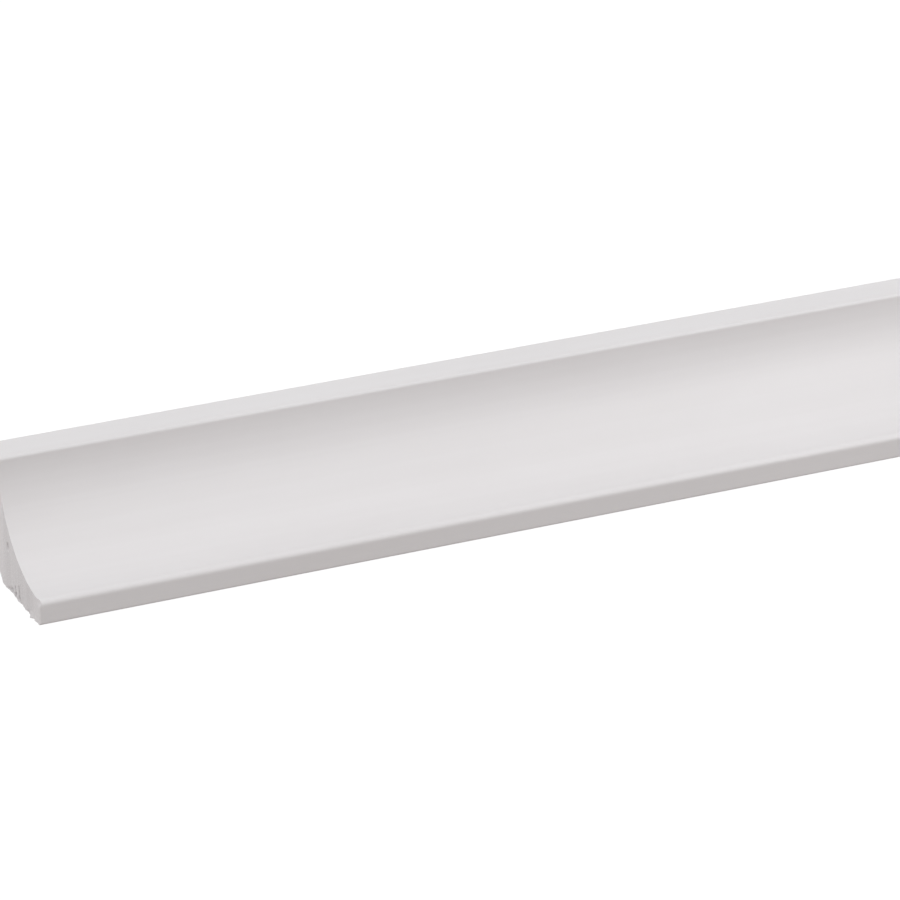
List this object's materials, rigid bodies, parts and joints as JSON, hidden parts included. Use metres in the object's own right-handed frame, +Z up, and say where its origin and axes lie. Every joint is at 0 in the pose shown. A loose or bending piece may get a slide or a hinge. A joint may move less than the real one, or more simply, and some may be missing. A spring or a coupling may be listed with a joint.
{
  "type": "cove moulding",
  "caption": "Straight length of white quarter-round cove moulding with a front band, a top band and a relieved back corner.",
  "frame": {"origin": "middle of the base face's level, halfway along the length and halfway through the depth", "axes": "+X along the length, -Y out of the front band, the way the cove looks, +Z up from the base face"},
  "size_m": [2.4, 0.02, 0.018],
  "materials": {
    "moulding": "satin white, self-coloured through"
  },
  "bodies": {
    "root": {"cove_moulding": "moulding"}
  },
  "joints": []
}
